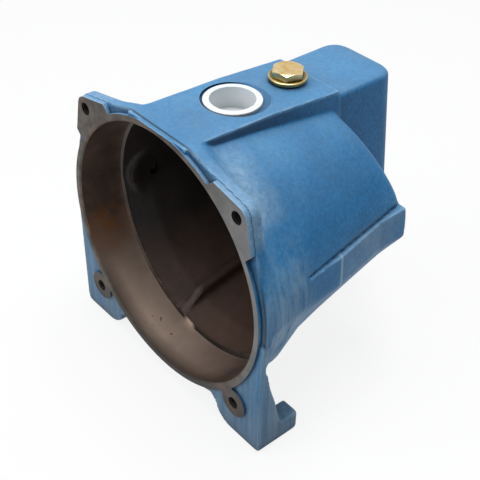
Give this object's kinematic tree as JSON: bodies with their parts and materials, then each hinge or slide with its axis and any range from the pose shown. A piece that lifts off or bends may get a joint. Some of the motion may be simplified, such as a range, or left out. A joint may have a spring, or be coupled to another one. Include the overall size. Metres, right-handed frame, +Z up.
{
  "type": "jet pump casing",
  "caption": "Blue painted cast iron casing of a self-priming pump, with open flanged mouth, flat top ridge with outlet and priming plug, inlet in the end and two feet",
  "frame": {"origin": "centre of the open round mouth, on its machined face", "axes": "+Y runs into the casing towards the suction port, +Z is up with the discharge port on top, +X is to the right seen from the mouth"},
  "size_m": [0.1766, 0.1615, 0.1791],
  "materials": {
    "cast_body": "blue paint over fine cast texture, bare machined rim",
    "white_plastic": "satin",
    "brass_plug": "turned, slightly dull",
    "dark_seal": "matt"
  },
  "bodies": {
    "root": {"casing": "cast_body", "discharge_cap": "white_plastic", "filler_plug": "brass_plug", "filler_washer": "dark_seal", "drain_plug": "brass_plug", "drain_washer": "dark_seal"}
  },
  "joints": []
}
